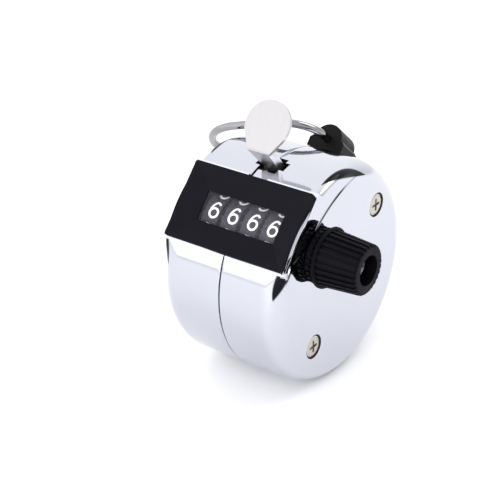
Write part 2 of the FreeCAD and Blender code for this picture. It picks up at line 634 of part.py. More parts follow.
def make_wheels():
    for index, digit in enumerate(WHEELS):
        name = digit + "_wheel"
        middle = "(window_x + (%s) * wheel_pitch)" % (index - 1.5)
        body = new_body(name)
        rim = circle(new_sketch(body, "YZ_Plane", "-wheel_width / 2"), "wheel_radius")
        circle(rim, "(shaft_radius + running_gap)")
        pad(body, rim, "wheel_width")
        if digit != "units":
            disc = circle(new_sketch(body, "YZ_Plane", "wheel_width / 2"), "gear_root")
            circle(disc, "(shaft_radius + running_gap)")
            pad(body, disc, "gear_disc")
            tooth = polygon(new_sketch(body, "YZ_Plane", "wheel_width / 2"),
                            tooth_outline("gear_root", "gear_tip"))
            around(body, pad(body, tooth, "gear_disc"), "gear_teeth")
        if digit != "thousands":
            driver = circle(new_sketch(body, "YZ_Plane", "-wheel_width / 2 - gear_disc"), "driver_radius")
            circle(driver, "(shaft_radius + running_gap)")
            pad(body, driver, "gear_disc")
            for side in ("-1", "1"):
                catch = polygon(new_sketch(body, "YZ_Plane", "-wheel_width / 2 - gear_disc"), [
                    (side + " * 1.1 - 0.35", "-driver_tip"), (side + " * 1.1 + 0.35", "-driver_tip"),
                    (side + " * 1.1 + 0.35", "-driver_radius + 0.8"),
                    (side + " * 1.1 - 0.35", "-driver_radius + 0.8")])
                pad(body, catch, "gear_disc")
        depth = "recess_depth" if digit == "units" else "(recess_depth + gear_disc)"
        recess = circle(new_sketch(body, "YZ_Plane", "wheel_width / 2 - recess_depth"), "gear_recess")
        circle(recess, "(shaft_radius + 1)")
        pocket(body, recess, depth, reverse=True)
        slit = rectangle(new_sketch(body, "YZ_Plane", "wheel_width / 2 - recess_depth"), "1.0", "1.6",
                         "0", "-(shaft_radius + 0.7)")
        pocket(body, slit, depth, reverse=True)
        keep(name, place(body, middle, WHEEL_Y, WHEEL_Z, V(1, 0, 0), "window_tilt"))

        pawl = new_body("reset_pawl_" + digit)
        outline = polygon(new_sketch(pawl, "YZ_Plane", "wheel_width / 2 - recess_depth + 0.1"), [
            ("-0.2", "-(shaft_radius + 0.12)"), ("0.2", "-(shaft_radius + 0.12)"),
            ("0.42", "-(shaft_radius + 1.2)"), ("2.3", "-(shaft_radius + 1.7)"),
            ("2.1", "-(shaft_radius + 2.3)"), ("-0.42", "-(shaft_radius + 2.0)")])
        pad(pawl, outline, "0.8")
        keep("reset_pawl_" + digit, place(pawl, middle, WHEEL_Y, WHEEL_Z, V(1, 0, 0), "window_tilt"))

    ratchet = new_body("ratchet_wheel")
    disc = circle(new_sketch(ratchet, "YZ_Plane"), "ratchet_root")
    circle(disc, "(shaft_radius + running_gap)")
    pad(ratchet, disc, "ratchet_width")
    tooth = polygon(new_sketch(ratchet, "YZ_Plane"), [
        ("1.55", "ratchet_root * cos(21)"), ("1.4", "ratchet_root - 1"), ("-0.3", "ratchet_root - 1"),
        ("-0.3", "ratchet_radius"), ("-0.05", "ratchet_radius")])
    around(ratchet, pad(ratchet, tooth, "ratchet_width"), "ratchet_teeth")
    keep("ratchet_wheel", place(ratchet, "ratchet_x", WHEEL_Y, WHEEL_Z))


def make_pinions():
    for index, pair in enumerate(("thousands", "hundreds", "tens")):
        name = "transfer_pinion_" + pair
        body = new_body(name)
        hub = circle(new_sketch(body, "YZ_Plane", "-pinion_width / 2"), "pinion_root")
        circle(hub, "pinion_bore")
        pad(body, hub, "pinion_width")
        tooth = polygon(new_sketch(body, "YZ_Plane", "-pinion_width / 2"),
                        tooth_outline("pinion_root", "pinion_tip"))
        around(body, pad(body, tooth, "pinion_width"), "pinion_teeth")
        # A gap between pinion teeth faces the wheel, whose own tooth points straight at it.
        middle = "(window_x + (%s) * wheel_pitch)" % (index - 1)
        keep(name, place(body, middle, PINION_Y, PINION_Z, V(1, 0, 0), "window_tilt + 22.5"))


# ---- thumb lever and drive ----------------------------------------------------------

def make_lever():
    lever = new_body("thumb_lever")
    lean = "(90 - pad_lean)"
    spot = ("pad_y", "pad_z")
    disc = circle(new_sketch(lever, "XY_Plane", turn=lean, base=spot), "pad_radius")
    pad(lever, disc, "lever_sheet", reverse=True)
    stem = polygon(new_sketch(lever, "XY_Plane", turn=lean, base=spot), [
        ("-fold_width / 2", "-fold_drop"), ("fold_width / 2", "-fold_drop"),
        ("pad_radius * 0.8", "-pad_radius * 0.6"), ("-pad_radius * 0.8", "-pad_radius * 0.6")])
    pad(lever, stem, "lever_sheet", reverse=True)

    fold_y = "(pad_y - fold_drop * sin(pad_lean))"
    fold_z = "(pad_z - fold_drop * cos(pad_lean))"
    neck = polygon(new_sketch(lever, "XY_Plane", turn="(180 - neck_slope)", base=(fold_y, fold_z)), [
        ("-fold_width / 2", "0.1"), ("fold_width / 2", "0.1"),
        ("lever_width / 2", "-neck_length"), ("lever_width / 2", "-neck_length - 2"),
        ("-lever_width / 2", "-neck_length - 2"), ("-lever_width / 2", "-neck_length")])
    pad(lever, neck, "lever_sheet", reverse=True)

    cheek = [(fold_y + " + 0.5", fold_z + " + 0.1"), ("-7.6", "26.3"), ("-4.6", "22.7"),
             ("-3.4", "21.1"), ("-3.5", "19.2"), ("pivot_y + hub_radius", "pivot_z"),
             ("pivot_y - hub_radius * 0.8", "pivot_z + hub_radius * 0.6"), ("-4.6", "19.7"),
             ("-5.2", "21.4")]
    for x in ("-lever_width / 2", "(lever_width / 2 - lever_sheet)"):
        pad(lever, polygon(new_sketch(lever, "YZ_Plane", x), cheek), "lever_sheet")
        pad(lever, circle(new_sketch(lever, "YZ_Plane", x), "hub_radius", "pivot_y", "pivot_z"),
            "lever_sheet")

    hole = circle(new_sketch(lever, "YZ_Plane", "-lever_width"), "sleeve_radius", "pivot_y", "pivot_z")
    pocket(lever, hole, "2 * lever_width", reverse=True)
    keep("thumb_lever", place(lever, "slot_x"))

    keep("rocker_sleeve", turned("rocker_sleeve", [
        ("sleeve_left", "pivot_radius + running_gap"), ("sleeve_left", "sleeve_radius"),
        ("sleeve_right", "sleeve_radius"), ("sleeve_right", "pivot_radius + running_gap")],
        "0", "pivot_y", "pivot_z"))

    arm = new_body("drive_arm")
    blade = polygon(new_sketch(arm, "YZ_Plane", "drive_arm_x"), [
        ("pivot_y - 1.2", "pivot_z"), ("pivot_y + 1.7", "pivot_z"), (PAWL_Y + " + 2", "9"),
        (PAWL_Y + " + 1.3", PAWL_Z), (PAWL_Y + " - 1.3", PAWL_Z), (PAWL_Y + " - 0.3", "9")])
    pad(arm, blade, "drive_arm_depth")
    pad(arm, circle(new_sketch(arm, "YZ_Plane", "drive_arm_x"), "hub_radius", "pivot_y", "pivot_z"),
        "drive_arm_depth")
    pad(arm, circle(new_sketch(arm, "YZ_Plane", "drive_arm_x"), "1.6", PAWL_Y, PAWL_Z),
        "drive_arm_depth")
    holes = circle(new_sketch(arm, "YZ_Plane", "drive_arm_x - 1"), "sleeve_radius", "pivot_y", "pivot_z")
    circle(holes, "pawl_pin_radius", PAWL_Y, PAWL_Z)
    pocket(arm, holes, "3", reverse=True)
    keep("drive_arm", arm)

    keep("pawl_pin", turned("pawl_pin", [
        ("ratchet_x - 0.35", "0"), ("ratchet_x - 0.35", "pawl_pin_radius + 0.35"),
        ("ratchet_x - 0.1", "pawl_pin_radius + 0.35"), ("ratchet_x - 0.1", "pawl_pin_radius"),
        ("drive_arm_x + drive_arm_depth", "pawl_pin_radius"), ("drive_arm_x + drive_arm_depth", "0")],
        "0", PAWL_Y, PAWL_Z))

    pawl = new_body("drive_pawl")
    hook = polygon(new_sketch(pawl, "YZ_Plane"), [
        ("0", "-pawl_hub"), ("pawl_length - 1", "-0.45"), ("pawl_length", "-0.75"),
        ("pawl_length + 0.1", "0.35"), ("0.9", "0.9"), ("0", "pawl_hub")])
    pad(pawl, hook, "ratchet_width")
    pad(pawl, circle(new_sketch(pawl, "YZ_Plane"), "pawl_hub"), "ratchet_width")
    pocket(pawl, circle(new_sketch(pawl, "YZ_Plane", "-1"), "(pawl_pin_radius + running_gap)"), "3",
           reverse=True)
    keep("drive_pawl", place(pawl, "ratchet_x", PAWL_Y, PAWL_Z, V(1, 0, 0), "pawl_angle"))


def make_springs():
    detent = new_body("detent_spring")
    strip = polygon(new_sketch(detent, "YZ_Plane", "ratchet_x + 0.05"), [
        ("detent_y + 1", "detent_z + 0.6"), ("detent_y + 1", "detent_z - 0.9"),
        ("detent_y - 0.9", "detent_z - 0.9"), ("detent_y - 1.1", "detent_z + 0.4"),
        ("-5.4", "13.2"), ("-5.9", "12.8"), ("-6.4", "13.5"), ("-7.4", "14.0"), ("-7.3", "14.3"),
        ("-6.3", "13.9"), ("-5.5", "13.6"), ("detent_y", "detent_z + 1")])
    circle(strip, "(detent_post_radius + lap_gap)", "detent_y", "detent_z")
    pad(detent, strip, "0.7")
    keep("detent_spring", detent)
    post = rod("ratchet_x - 0.6", "detent_y", "detent_z", "detent_post_radius",
               "right_plate_x - ratchet_x + 0.6")
    keep("detent_post", post)

    leaf = new_body("pawl_spring")
    strip = polygon(new_sketch(leaf, "YZ_Plane", "ratchet_x + 0.1"), [
        ("-1.0", "1.3"), ("-1.0", "1.9"), ("5.0", "1.15"), ("5.0", "0.95"), ("0.5", "1.5"),
        ("0.5", "1.3")])
    pad(leaf, strip, "(drive_arm_x - ratchet_x - 0.1)")
    keep("pawl_spring", place(leaf, "0", PAWL_Y, PAWL_Z, V(1, 0, 0), "pawl_angle"))

    turns = doc.addObject("Part::Helix", "return_helix")
    turns.Pitch = number("spring_length") / 5
    bind(turns, "Pitch", "spring_length / 5")
    bind(turns, "Height", "spring_length")
    bind(turns, "Radius", "spring_coil")
    section = doc.addObject("Part::Circle", "return_section")
    bind(section, "Radius", "spring_wire")
    section.Placement = FreeCAD.Placement(V(number("spring_coil"), 0, 0), FreeCAD.Rotation(V(1, 0, 0), 90))
    doc.recompute()
    coil = doc.addObject("Part::Sweep", "return_coil")
    coil.Sections = [section]
    coil.Spine = (turns, ["Edge1"])
    coil.Solid = True
    coil.Frenet = True
    place(coil, "spring_left", "pivot_y", "pivot_z", V(0, 1, 0), "90")
    keep("lever_return_spring", coil)


# ---- finger ring --------------------------------------------------------------------

def make_ring():
    # In the holder's own frame Y runs along the barrel and Z points away from the drum.
    holder = new_body("holder_blank")
    low, barrel = "(case_radius - 1.6)", "holder_distance"
    half = "holder_half_width"
    block = polygon(new_sketch(holder, "XZ_Plane", "-holder_length / 2"), [
        ("-" + half, "case_radius - 0.8"), (half, "case_radius - 0.8"), (half, "holder_top - 0.6"),
        (half + " - 0.6", "holder_top"), ("-" + half + " + 0.6", "holder_top"),
        ("-" + half, "holder_top - 0.6")])
    pad(holder, block, "holder_length")
    pad(holder, circle(new_sketch(holder, "XZ_Plane", "-holder_length / 2"), "barrel_radius", "0", barrel),
        "holder_length")
    place(holder, "slot_x", axis=V(1, 0, 0), angle="-holder_angle")
    under = doc.addObject("Part::Cylinder", "drum_shape")
    bind(under, "Radius", "case_radius + 0.02")
    bind(under, "Height", "case_width")
    place(under, axis=V(0, 1, 0), angle="90")
    saddle = cut(holder, under)

    foot = new_body("holder_foot")
    shank = rectangle(new_sketch(foot, "XY_Plane", low + " - 0.6"), "(2 * holder_half_width - 2.0)",
                      "(holder_length - 1.4)")
    pad(foot, shank, "2.8")
    flange = rectangle(new_sketch(foot, "XY_Plane", low + " - 1.5"), "(2 * holder_half_width + 1)",
                       "(holder_length + 0.6)")
    pad(foot, flange, "1.0")
    place(foot, "slot_x", axis=V(1, 0, 0), angle="-holder_angle")

    bore = doc.addObject("Part::Cylinder", "wire_bore")
    bind(bore, "Radius", "wire_radius + wire_gap")
    bore.Height = 20
    turn = FreeCAD.Rotation(V(1, 0, 0), number("-holder_angle")) * FreeCAD.Rotation(V(1, 0, 0), 90)
    middle = V(number("slot_x"), number(HOLDER_Y), number(HOLDER_Z))
    bore.Placement = FreeCAD.Placement(middle - turn.multVec(V(0, 0, 10)), turn)
    keep("ring_holder", cut(fuse(saddle, foot), bore))

    # Ring in its own plane: X away from the barrel, Y along it; the ends meet in the barrel.
    ring = new_body("finger_ring")
    path = new_sketch(ring, "XY_Plane")
    top = number("holder_length / 2 + ring_stub + ring_inner_bend")
    reach, inner, outer = number("ring_reach"), number("ring_inner_bend"), number("ring_outer_bend")
    stub = number("holder_length / 2 + ring_stub")
    runs = [Part.LineSegment(V(0, 0.1, 0), V(0, stub, 0)),
            Part.ArcOfCircle(Part.Circle(V(inner, stub, 0), V(0, 0, 1), inner), 1.5707963, 3.1415927),
            Part.LineSegment(V(inner, top, 0), V(reach - outer, top, 0)),
            Part.ArcOfCircle(Part.Circle(V(reach - outer, top - outer, 0), V(0, 0, 1), outer), 0, 1.5707963),
            Part.LineSegment(V(reach, top - outer, 0), V(reach, outer - top, 0)),
            Part.ArcOfCircle(Part.Circle(V(reach - outer, outer - top, 0), V(0, 0, 1), outer),
                             4.712389, 6.2831853),
            Part.LineSegment(V(reach - outer, -top, 0), V(inner, -top, 0)),
            Part.ArcOfCircle(Part.Circle(V(inner, -stub, 0), V(0, 0, 1), inner), 3.1415927, 4.712389),
            Part.LineSegment(V(0, -stub, 0), V(0, -0.1, 0))]
    for run in runs:
        path.addGeometry(run)
    joints = [(0, 2, 1, 2), (1, 1, 2, 1), (2, 2, 3, 2), (3, 1, 4, 1), (4, 2, 5, 2), (5, 1, 6, 1),
              (6, 2, 7, 2), (7, 1, 8, 1)]
    for joint in joints:
        path.addConstraint(Sketcher.Constraint("Tangent", *joint))
    path.addConstraint(Sketcher.Constraint("PointOnObject", 0, 1, -2))
    path.addConstraint(Sketcher.Constraint("PointOnObject", 0, 2, -2))
    path.addConstraint(Sketcher.Constraint("PointOnObject", 8, 2, -2))
    constrain(path, "DistanceY", 0, 1, "0.1")
    constrain(path, "DistanceY", 8, 2, "-0.1")
    constrain(path, "DistanceY", 0, 2, "holder_length / 2 + ring_stub")
    constrain(path, "DistanceY", 8, 1, "-(holder_length / 2 + ring_stub)")
    constrain(path, "DistanceX", 4, 1, "ring_reach")
    for arc, radius in ((1, "ring_inner_bend"), (3, "ring_outer_bend"), (5, "ring_outer_bend"),
                        (7, "ring_inner_bend")):
        index = path.addConstraint(Sketcher.Constraint("Radius", arc, number(radius)))
        bind(path, "Constraints[%d]" % index, radius)
    section = circle(new_sketch(ring, "XZ_Plane", "-0.1"), "wire_radius")
    doc.recompute()
    wire = ring.newObject("PartDesign::AdditivePipe", "finger_ring_wire")
    wire.Profile = section
    wire.Spine = path
    swing = FreeCAD.Rotation(V(1, 0, 0), number("-holder_angle"))
    swing = swing * FreeCAD.Rotation(V(0, 1, 0), number("180 + ring_tilt") * -1)
    ring.Placement = FreeCAD.Placement(V(number("slot_x"), number(HOLDER_Y), number(HOLDER_Z)), swing)
    keep("finger_ring", ring)


make_case()
make_window()
make_frame()
make_case_screws()
make_reset()
make_wheels()
make_pinions()
make_lever()
make_springs()
make_ring()
doc.recompute()

for item in doc.Objects:
    if "Invalid" in item.State or "Error" in item.State:
        raise RuntimeError("%s did not build: %s" % (item.Name, item.State))
os.makedirs("parts", exist_ok=True)
for label, item in NODES.items():
    if item.Shape.isNull() or not item.Shape.isValid() or not item.Shape.Solids:
        raise RuntimeError(label + " has no valid shape")
for label, item in NODES.items():
    item.Shape.exportStep("parts/" + label + ".step")
    print("%-26s %9.3f mm3 %2d solid" % (label, item.Shape.Volume, len(item.Shape.Solids)))
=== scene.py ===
"""The looks of the hand tally counter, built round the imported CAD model."""

import json
import math

import bmesh
import bpy
from mathutils import Matrix, Vector


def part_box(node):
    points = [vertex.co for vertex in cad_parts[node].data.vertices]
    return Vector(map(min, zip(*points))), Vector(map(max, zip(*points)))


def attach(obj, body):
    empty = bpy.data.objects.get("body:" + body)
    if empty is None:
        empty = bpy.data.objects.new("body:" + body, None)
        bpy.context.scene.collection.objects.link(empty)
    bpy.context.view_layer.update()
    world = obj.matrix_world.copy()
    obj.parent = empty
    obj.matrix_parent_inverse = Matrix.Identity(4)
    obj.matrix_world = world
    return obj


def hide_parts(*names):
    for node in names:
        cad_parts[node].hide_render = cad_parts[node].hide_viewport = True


MM = 0.001
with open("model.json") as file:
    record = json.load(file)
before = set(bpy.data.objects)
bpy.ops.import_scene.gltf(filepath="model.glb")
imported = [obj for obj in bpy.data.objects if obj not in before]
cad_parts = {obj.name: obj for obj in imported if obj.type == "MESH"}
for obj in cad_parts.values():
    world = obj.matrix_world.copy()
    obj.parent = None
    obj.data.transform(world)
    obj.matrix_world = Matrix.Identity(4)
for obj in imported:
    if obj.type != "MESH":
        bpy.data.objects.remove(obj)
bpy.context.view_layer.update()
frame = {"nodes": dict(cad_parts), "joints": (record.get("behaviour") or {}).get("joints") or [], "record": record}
nodes = frame["nodes"]
X_AXIS = Vector((1, 0, 0))
JOINTS = {joint["name"]: joint for joint in frame["joints"]}

# The drum, in metres, from the frame. Its axis is the X axis and its left end face is at X = 0.
CASE_RADIUS = -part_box("left_shell")[0].z
CASE_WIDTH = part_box("right_shell")[1].x
DRUM_CENTRE = Vector((CASE_WIDTH / 2, 0, 0))
WHEEL_AXIS = Vector(JOINTS["units_wheel_turn"]["pos_m"])
WINDOW_NORMAL = Vector((0, WHEEL_AXIS.y, WHEEL_AXIS.z)).normalized()
WINDOW_UP = X_AXIS.cross(WINDOW_NORMAL) * -1

# Millimetres and degrees. Angles go up from the front, round the drum's axis.
WIDTH, OUTER, INNER, END_WALL = 28, 22, 21.2, 0.8
SEAM_X, SEAM_GAP, LEVER_X = 14.5, 0.26, 14.5
EDGE_START, EDGE_DEPTH, EDGE_STEPS, TURNS = 16.5, 5.0, 84, 480
# The case's edge, plain and at the shoulder: corner radius, where the end face's flat ends, step in.
EDGE_PROFILES = ((4.3, 17.7, 0.0), (1.3, 20.7, 0.25))
SHOULDER_FOOT, SHOULDER_HEAD = (9, 27), (80, 108)
FOLD_MIDDLE, FOLD_RADIUS, FOLD_LOW_BEND, FOLD_HIGH_BEND = 50, 17.1, 0.0075, 0.0011
# Painted shade in the hollows at the shoulder's two ends: first and last angle, place across the edge at each,
# half width.
FOOT_HOLLOW_SHADE, HEAD_HOLLOW_SHADE = (10, 37, 0.64, 0.40, 0.14), (73, 110, 0.64, 0.36, 0.11)
# Boxes on the window's own directions: up its face, low and high, then out of it.
SEAT, RECESS, MOUTH = (-7.35, 8.95, 18.6, 20.75), (-7.0, 8.6, 20.75, 27), (-5.2, 6.8, 14, 22)
# The lever's slot and its cross arm: width, then front and back angle in front of the top.
SLOT, SLOT_CROSS = (4.2, 27.5, 6.3), (6.3, 15.3, 9.0)
SCREW_TURNS, SCREW_CIRCLE = (45.8, 224.0), 14.95
SCREW_WIDE, SCREW_NARROW, SCREW_SINK = 3.53, 1.49, 1.9
BUSH_HOLE, HOLDER_TILT, HOLDER_HOLE = 2.55, 42.1, (3.0, 2.6)
TONGUE_START, TONGUE_SPAN, TONGUE_STEPS, TONGUE_HALF, TONGUE_RADII = 17.8, 9.5, 6, 1.95, (21.7, 21.0)
LAP_START, LAP_SPAN, LAP_STEPS, LAP_X, LAP_RADII = 86, 296, 180, (12.9, 16.4), (20.7, 21.1)
WHEEL_RADIUS, WHEEL_PITCH = 6.9, 4.45
# The numeral in the window at rest, its angle above the window's middle, and how far right it stands.
REST_DIGIT, REST_ANGLE, INK_SHIFT, INK_HALF = 6, 6.2, 0.45, 0.21
WIRE_RADIUS, RING_REST = 0.8, -198.8
# Sockets of a colour mix node.
MIX_FACTOR, MIX_FIRST, MIX_SECOND, MIX_RESULT = 0, 6, 7, 2


# ---------------------------------------------------------------- materials
def socket(shader, name, value):
    """Sets one of the shader's own sockets."""
    shader.inputs[name].default_value = value


def principled(name, colour, roughness, metallic=0.0):
    """A new material with its Principled shader set; returns the material and the shader."""
    made = bpy.data.materials.new(name)
    made.use_nodes = True
    shader = made.node_tree.nodes["Principled BSDF"]
    socket(shader, "Base Color", (*colour, 1))
    socket(shader, "Roughness", roughness)
    socket(shader, "Metallic", metallic)
    made.diffuse_color = (*colour, 1)
    return made, shader


def coordinates(made, stretch=(1, 1, 1)):
    """Object coordinates, stretched along an axis for grain that runs one way."""
    tree = made.node_tree
    place = tree.nodes.new("ShaderNodeTexCoord")
    scale = tree.nodes.new("ShaderNodeMapping")
    scale.inputs["Scale"].default_value = stretch
    tree.links.new(place.outputs["Object"], scale.inputs["Vector"])
    return scale.outputs["Vector"]


def noise(made, vector, scale, detail=4.0, rough=0.5):
    """A noise texture's factor."""
    texture = made.node_tree.nodes.new("ShaderNodeTexNoise")
    texture.inputs["Scale"].default_value = scale
    texture.inputs["Detail"].default_value = detail
    texture.inputs["Roughness"].default_value = rough
    made.node_tree.links.new(vector, texture.inputs["Vector"])
    return texture.outputs["Fac"]


def remap(made, value, low, high, from_low=0.3, from_high=0.7):
    """value spread over low to high."""
    node = made.node_tree.nodes.new("ShaderNodeMapRange")
    node.inputs["From Min"].default_value = from_low
    node.inputs["From Max"].default_value = from_high
    node.inputs["To Min"].default_value = low
    node.inputs["To Max"].default_value = high
    made.node_tree.links.new(value, node.inputs["Value"])
    return node.outputs["Result"]


def vary_roughness(made, shader, vector, scale, low, high):
    """Roughness that wanders between low and high."""
    wander = remap(made, noise(made, vector, scale), low, high)
    made.node_tree.links.new(wander, shader.inputs["Roughness"])


def colour_mix(made, factor, first, second):
    """A colour that goes from first to second with the factor; each is a tuple or a socket."""
    mix = made.node_tree.nodes.new("ShaderNodeMix")
    mix.data_type = "RGBA"
    for index, colour in ((MIX_FIRST, first), (MIX_SECOND, second)):
        if isinstance(colour, tuple):
            mix.inputs[index].default_value = (*colour, 1)
        else:
            made.node_tree.links.new(colour, mix.inputs[index])
    made.node_tree.links.new(factor, mix.inputs[MIX_FACTOR])
    return mix.outputs[MIX_RESULT]


def vary_colour(made, shader, factor, first, second):
    """A base colour that goes from first to second with the factor."""
    made.node_tree.links.new(colour_mix(made, factor, first, second), shader.inputs["Base Color"])


def bump(made, shader, height, depth, strength=1.0):
    """A bump of that depth in metres."""
    node = made.node_tree.nodes.new("ShaderNodeBump")
    node.inputs["Strength"].default_value = strength
    node.inputs["Distance"].default_value = depth
    made.node_tree.links.new(height, node.inputs["Height"])
    made.node_tree.links.new(node.outputs["Normal"], shader.inputs["Normal"])


def chrome():
    """Bright chromium plate: nearly a mirror, with near-black painted shade where the pressing folds in."""
    made, shader = principled("chrome_plate", PLATE, 0.05, 1.0)
    place = coordinates(made)
    vary_roughness(made, shader, place, 220, 0.04, 0.085)
    # Painted shade: the fold attribute mixes the plate colour to near-black in the hollows and along the fold
    # line.
    fold = made.node_tree.nodes.new("ShaderNodeAttribute")
    fold.attribute_name = "fold"
    plate = colour_mix(made, noise(made, place, 90),
                       tuple(part * 0.98 for part in PLATE), tuple(part * 1.03 for part in PLATE))
    vary_colour(made, shader, fold.outputs["Fac"], plate, (0.012, 0.012, 0.016))
    bump(made, shader, noise(made, place, 120, 2.0), 0.000003, 0.4)
    return made


def ring_chrome():
    """Plated wire, a little rougher than the case."""
    made, shader = principled("wire_chrome", (0.30, 0.295, 0.31), 0.08, 1.0)
    place = coordinates(made)
    vary_roughness(made, shader, place, 700, 0.05, 0.12)
    vary_colour(made, shader, noise(made, place, 300), (0.26, 0.26, 0.275), (0.34, 0.335, 0.35))
    bump(made, shader, noise(made, place, 1500, 3.0), 0.000003, 0.4)
    return made


def brushed(name, colour, grain, low=0.22, high=0.42, depth=0.000004):
    """Metal with a grain; grain is the stretch of its coordinates, small along the brushing."""
    made, shader = principled(name, colour, low, 1.0)
    place = coordinates(made, grain)
    lines = noise(made, place, 3500, 5.0, 0.65)
    made.node_tree.links.new(remap(made, lines, low, high), shader.inputs["Roughness"])
    lighter = tuple(min(1.0, part * 1.05) for part in colour)
    darker = tuple(part * 0.9 for part in colour)
    vary_colour(made, shader, lines, darker, lighter)
    bump(made, shader, lines, depth, 0.6)
    return made


def plastic(name, colour, low, high, grain_scale, depth, specular=0.5):
    """Moulded plastic: a fine grain, and a patchy sheen."""
    made, shader = principled(name, colour, low)
    socket(shader, "Specular IOR Level", specular)
    place = coordinates(made)
    vary_roughness(made, shader, place, 260, low, high)
    vary_colour(made, shader, noise(made, place, 1200), colour, tuple(part * 1.35 for part in colour))
    bump(made, shader, noise(made, place, grain_scale, 3.0), depth, 0.7)
    return made


def clear_pane():
    """The clear pane over the wheels: mostly see-through, with a faint haze."""
    made, shader = principled("clear_acrylic", (0.60, 0.60, 0.66), 0.05)
    socket(shader, "Specular IOR Level", 0.1)
    place = coordinates(made)
    haze = remap(made, noise(made, place, 180, 3.0), 0.012, 0.03)
    made.node_tree.links.new(haze, shader.inputs["Alpha"])
    vary_roughness(made, shader, place, 400, 0.03, 0.09)
    return made


def ink():
    """White ink of the numerals."""
    made, shader = principled("numeral_ink", (0.86, 0.86, 0.90), 0.5)
    place = coordinates(made)
    vary_colour(made, shader, noise(made, place, 2600), (0.80, 0.80, 0.85), (0.92, 0.92, 0.95))
    bump(made, shader, noise(made, place, 5000), 0.000006, 0.5)
    return made


PLATE = (0.565, 0.578, 0.64)
ALONG_LEVER = (1, 0.06, 0.06)
TURNED = (0.15, 1, 1)
LOOKS = {
    "case_chrome": chrome(),
    "ring_chrome": ring_chrome(),
    "bezel_plastic": plastic("bezel_black", (0.003, 0.003, 0.0058), 0.44, 0.6, 6000,
                             0.000008, 0.075),
    "knob_plastic": plastic("knob_black", (0.002, 0.002, 0.0036), 0.4, 0.58, 5000, 0.000008, 0.06),
    "holder_plastic": plastic("holder_black", (0.002, 0.002, 0.0025), 0.32, 0.48, 5200,
                              0.000008, 0.12),
    "wheel_plastic": plastic("wheel_grey", (0.034, 0.031, 0.043), 0.45, 0.62, 4200, 0.000008, 0.12),
    "pinion_plastic": plastic("acetal_white", (0.80, 0.79, 0.74), 0.35, 0.5, 3000, 0.00001),
    "lens": clear_pane(),
    "inside": brushed("bare_inside", (0.03, 0.03, 0.032), (1, 1, 1), 0.5, 0.7),
    "ink": ink(),
    "frame_steel": brushed("zinc_steel", (0.60, 0.61, 0.62), (1, 1, 0.1)),
    "lever_steel": brushed("lever_nickel", (0.50, 0.49, 0.50), ALONG_LEVER, 0.26, 0.42),
    "shaft_steel": brushed("ground_steel", (0.66, 0.66, 0.67), TURNED),
    "spring_steel": brushed("spring_steel", (0.42, 0.42, 0.44), TURNED),
    "screw_nickel": brushed("screw_nickel", (0.50, 0.475, 0.43), TURNED, 0.2, 0.34),
    "knob_screw_black": brushed("black_screw", (0.50, 0.50, 0.54), TURNED, 0.35, 0.55),
    "brass": brushed("turned_brass", (0.80, 0.60, 0.28), TURNED),
}


def dress_nodes():
    """Every CAD node takes the material of the record's slot."""
    for part in frame["record"]["subparts"]:
        mesh = nodes[part["node"]].data
        mesh.materials.clear()
        mesh.materials.append(LOOKS[part["material_slot"]])


# ---------------------------------------------------------------- pieces
def mesh_piece(name, points, faces, looks):
    """A smooth-shaded mesh object in the row frame; points are in millimetres."""
    mesh = bpy.data.meshes.new(name)
    mesh.from_pydata([tuple(part * MM for part in point) for point in points], [], faces)
    mesh.validate()
    for look in looks:
        mesh.materials.append(look)
    mesh.shade_smooth()
    piece = bpy.data.objects.new(name, mesh)
    bpy.context.scene.collection.objects.link(piece)
    return piece


def smooth(value, low, high):
    """Goes from 0 at low to 1 at high, with level ends."""
    part = min(1.0, max(0.0, (value - low) / (high - low)))
    return part * part * (3 - 2 * part)


def fold_radius(phi):
    """Where the shoulder's side wall folds up from the end face, by angle up from the front."""
    bend = FOLD_LOW_BEND if phi < FOLD_MIDDLE else FOLD_HIGH_BEND
    return FOLD_RADIUS + bend * (phi - FOLD_MIDDLE) ** 2


def edge_point(along, phi):
    """(distance in from the end face, radius) at a fraction of the way round the case's edge."""
    blend = smooth(phi, *SHOULDER_FOOT) * (1 - smooth(phi, *SHOULDER_HEAD))
    fold = fold_radius(phi)
    spots = []
    for corner, flat_end, offset in EDGE_PROFILES:
        flat = flat_end - EDGE_START
        arc = corner * math.pi / 2
        straight = EDGE_DEPTH - corner - offset
        travel = along * (flat + arc + straight)
        if travel < flat:
            radius = EDGE_START + travel
            spots.append((offset * smooth(radius, fold - 0.1, fold + 0.45), radius))
        elif travel < flat + arc:
            turn = (travel - flat) / corner
            spots.append((offset + corner * (1 - math.cos(turn)),
                          flat_end + corner * math.sin(turn)))
        else:
            spots.append((offset + corner + travel - flat - arc, flat_end + corner))
    return tuple(spots[0][k] * (1 - blend) + spots[1][k] * blend for k in (0, 1))


def painted_fold_shade(along, phi, radius):
    """Painted shade: how dark the plate is painted in the hollows at the shoulder's two ends and along its fold
    line.
    """
    shade = 0.0
    for first, last, start, finish, half in (FOOT_HOLLOW_SHADE, HEAD_HOLLOW_SHADE):
        part = (phi - first) / (last - first)
        if 0 < part < 1:
            reach = half * math.sin(math.pi * part) ** 0.8
            away = abs(along - (start + (finish - start) * part)) / max(reach, 1e-4)
            shade = max(shade, 1 - smooth(away, 0.8, 1.1))
    if 27 < phi < 92:
        strength = smooth(phi, 27, 34) * (1 - smooth(phi, 82, 92)) * (0.9 + 0.1 * math.sin(phi / 6))
        away = abs(radius - fold_radius(phi) - 0.15) / 0.22
        shade = max(shade, strength * (1 - smooth(away, 0.3, 1.0)))
    return shade


